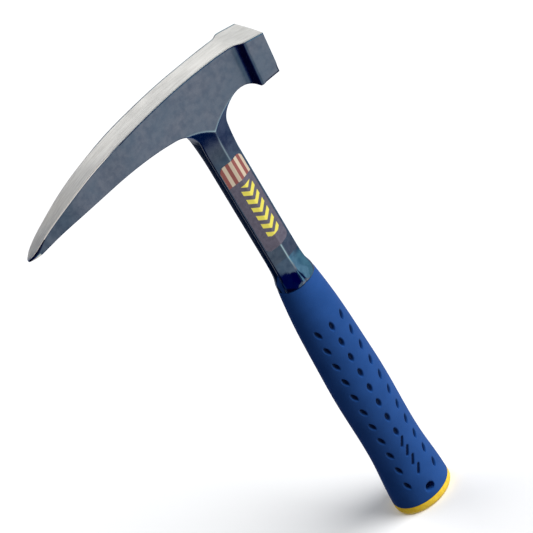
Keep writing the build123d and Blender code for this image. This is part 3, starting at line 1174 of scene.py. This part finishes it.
# --------------------------------------------------------------------- label
corner_steps = np.linspace(0, LABEL_CORNER, 12)[:-1] ** 2 / LABEL_CORNER
label_z = np.concatenate(
    [
        label_low.z + corner_steps,
        np.linspace(label_low.z + LABEL_CORNER, label_high.z - LABEL_CORNER, 48),
        (label_high.z - corner_steps)[::-1],
    ]
)
pull = round_off(LABEL_CORNER, np.minimum(label_z - label_low.z, label_high.z - label_z))
film_shares = np.linspace(0, 1, 41)
film_width = label_high.x - label_low.x - 2 * pull
film_x = (label_low.x + pull)[:, None] + film_width[:, None] * film_shares
film_z = np.repeat(label_z[:, None], len(film_shares), 1)
steel_y = -body_half(film_x, np.minimum(film_z, FLARE_LOW - 0.01))
front = np.stack([film_x, steel_y - FILM, film_z], -1)
back = np.stack([film_x, steel_y, film_z], -1)
film_points = np.concatenate([front.reshape(-1, 3), back.reshape(-1, 3)])
rows, columns = film_x.shape
front_count = rows * columns
film_faces = []
for r in range(rows - 1):
    for c in range(columns - 1):
        a = r * columns + c
        film_faces.append((a, a + 1, a + 1 + columns, a + columns))
        film_faces.append(
            tuple(i + front_count for i in (a + columns, a + 1 + columns, a + 1, a))
        )
border = (
    list(range(columns))
    + [r * columns + columns - 1 for r in range(1, rows)]
    + [(rows - 1) * columns + c for c in range(columns - 2, -1, -1)]
    + [r * columns for r in range(rows - 2, 0, -1)]
)
for a, b in zip(border, border[1:] + border[:1]):
    film_faces.append((b, a, a + front_count, b + front_count))

label = make_mesh("neck_label", film_points, film_faces, [label_film()])
label.data.set_sharp_from_angle(angle=math.radians(40))
finish(label, "label")

# --------------------------------------------------------------------- stage
scene = bpy.context.scene
scene.view_settings.view_transform = "Standard"

FLOOR_HALF = 3000.0
FLOOR_Z = -0.05  # just clear of the butt
floor_corners = [
    (side_x * FLOOR_HALF, side_y * FLOOR_HALF, FLOOR_Z)
    for side_x, side_y in ((-1, -1), (1, -1), (1, 1), (-1, 1))
]
floor = make_mesh("floor", floor_corners, [(0, 1, 2, 3)], [studio_floor()])
# the floor isn't mirrored by the steel and throws no light up onto the grip
floor.visible_glossy = False
floor.visible_diffuse = False

# Camera: looks down on the hammer from its pick side, with the handle leaning
SIDE = math.radians(23.622)
RISE = math.radians(34.776)
ROLL = math.radians(31.162)
TARGET = np.array([0.0, 0.0, 160.57])
DISTANCE = 1946.3
SENSOR = 36.0
FOCAL = 234.96735
SHIFT = (23.54, 18.33)  # the target lies this far right of and below the picture's middle
flat_right = np.array([math.cos(SIDE), -math.sin(SIDE), 0])
flat_up = np.array(
    [math.sin(SIDE) * math.sin(RISE), math.cos(SIDE) * math.sin(RISE), math.cos(RISE)]
)
forward = np.array(
    [math.sin(SIDE) * math.cos(RISE), math.cos(SIDE) * math.cos(RISE), -math.sin(RISE)]
)
cam_right = math.cos(ROLL) * flat_right - math.sin(ROLL) * flat_up
cam_up = math.sin(ROLL) * flat_right + math.cos(ROLL) * flat_up
place = TARGET - SHIFT[0] * cam_right + SHIFT[1] * cam_up - DISTANCE * forward
camera_data = bpy.data.cameras.new("camera")
camera = bpy.data.objects.new("camera", camera_data)
scene.collection.objects.link(camera)
turned = Matrix.Identity(4)
for column, axis in enumerate((cam_right, cam_up, -forward)):
    for row in range(3):
        turned[row][column] = float(axis[row])
for row in range(3):
    turned[row][3] = float(place[row]) * MM
camera.matrix_world = turned
camera_data.sensor_width = SENSOR
camera_data.lens = FOCAL
camera_data.clip_start, camera_data.clip_end = 0.05, 50
scene.camera = camera


def add_sun(name, energy, spread, direction):
    """A broad lamp that casts the soft shadow and that the steel doesn't mirror."""
    sun = bpy.data.lights.new(name, "SUN")
    sun.energy, sun.angle = energy, math.radians(spread)
    lamp = bpy.data.objects.new(name, sun)
    scene.collection.objects.link(lamp)
    lamp.rotation_mode = "QUATERNION"
    lamp.rotation_quaternion = Vector(direction).to_track_quat("Z", "Y")
    lamp.visible_glossy = False


add_sun("key", 3.0, 36, (0.44, -0.40, 0.80))
add_sun("back", 1.0, 34, (-0.10, 0.50, 0.86))

# Soft light on matt surfaces, stronger from the striking side and below
FILL_WAY = (0.75, -0.35, -0.56)
FILL_DIM = (0.05, 0.065, 0.085)
FILL_LIT = (0.87, 0.85, 0.83)
FILL_FROM, FILL_TO = -0.35, 0.9

# What the steel mirrors: soft boxes and dark gaps, as directions from the hammer.
# Each is (direction, degrees to where it starts to fade, degrees to its end, colour),
# and a later one covers the earlier ones.
SOFT_BOXES = [
    ((0.50, 0.72, 0.45), 25, 72, (1.10, 1.10, 1.10)),
    ((0.24, 0.75, 0.62), 8, 26, (1.62, 1.60, 1.60)),
    ((-0.20, 0.74, 0.64), 16, 28, (0.32, 0.30, 0.285)),
    ((-0.33, -0.75, 0.57), 25, 50, (0.02, 0.03, 0.08)),
    ((0.33, -0.75, -0.57), 8, 27, (0.97, 0.97, 0.92)),
    ((-0.03, -0.82, -0.57), 8, 17, (0.38, 0.43, 0.44)),
    ((-0.05, -0.95, -0.30), 8, 20, (0.42, 0.56, 0.62)),
    ((-0.12, -0.98, 0.10), 16, 20, (0.0, 0.0, 0.16)),
    ((-0.50, -0.86, -0.10), 20, 25, (0.0, 0.01, 0.18)),
    ((0.03, -0.28, -0.96), 15, 27, (0.0, 0.03, 0.15)),
    ((0.75, 0.05, -0.66), 8, 32, (0.35, 0.42, 0.55)),
    ((0.66, -0.72, -0.06), 20, 25, (0.55, 1.1, 1.25)),
    ((0.88, -0.38, -0.29), 15, 22, (0.35, 0.82, 0.95)),
    ((-0.70, -0.38, -0.60), 24, 34, (0.005, 0.005, 0.04)),
    ((-0.10, 0.82, -0.57), 10, 18, (0.28, 0.29, 0.33)),
    ((-0.48, 0.66, -0.57), 14, 20, (0.0, 0.01, 0.04)),
]
DARK = (0.03, 0.09, 0.27)  # between them

world = bpy.data.worlds.new("studio")
scene.world = world
world.use_nodes = True
world.cycles.sampling_method = "NONE"  # so that each kind of ray sees its own light
sky = world.node_tree
sky.nodes.clear()


def sky_node(kind, settings=None, **inputs):
    """Adds a node; inputs are by name, or by place after an underscore."""
    node = sky.nodes.new(kind)
    for key, value in (settings or {}).items():
        setattr(node, key, value)
    for key, value in inputs.items():
        socket = node.inputs[int(key[1:])] if key[1:].isdigit() else node.inputs[key]
        if isinstance(value, bpy.types.NodeSocket):
            sky.links.new(value, socket)
        else:
            socket.default_value = value
    return node


def sky_mix(share, a, b):
    """Colour a where share is 0 and b where it is 1."""
    return sky_node("ShaderNodeMix", {"data_type": "RGBA"}, _0=share, _6=a, _7=b).outputs[2]


def facing(direction, start, end, easing):
    """Rises from 0 to 1 as the view's cosine to a direction goes from start to end."""
    node = sky_node("ShaderNodeVectorMath", {"operation": "DOT_PRODUCT"}, _0=way, _1=direction)
    share = sky_node(
        "ShaderNodeMapRange", {"interpolation_type": easing}, Value=node.outputs["Value"]
    )
    share.inputs["From Min"].default_value = start
    share.inputs["From Max"].default_value = end
    return share.outputs[0]


way = sky_node("ShaderNodeTexCoord").outputs["Generated"]
mirrored = (*DARK, 1)
for direction, inside, outside, colour in SOFT_BOXES:
    share = facing(
        tuple(Vector(direction).normalized()),
        math.cos(math.radians(outside)),
        math.cos(math.radians(inside)),
        "SMOOTHSTEP",
    )
    mirrored = sky_mix(share, mirrored, (*colour, 1))
fill = sky_mix(facing(FILL_WAY, FILL_FROM, FILL_TO, "LINEAR"), (*FILL_DIM, 1), (*FILL_LIT, 1))
path = sky_node("ShaderNodeLightPath")
light = sky_mix(path.outputs["Is Glossy Ray"], fill, mirrored)
seen = sky_mix(path.outputs["Is Camera Ray"], light, (1, 1, 1, 1))
background = sky_node("ShaderNodeBackground", Color=seen, Strength=1.0)
sky_node("ShaderNodeOutputWorld", Surface=background.outputs[0])
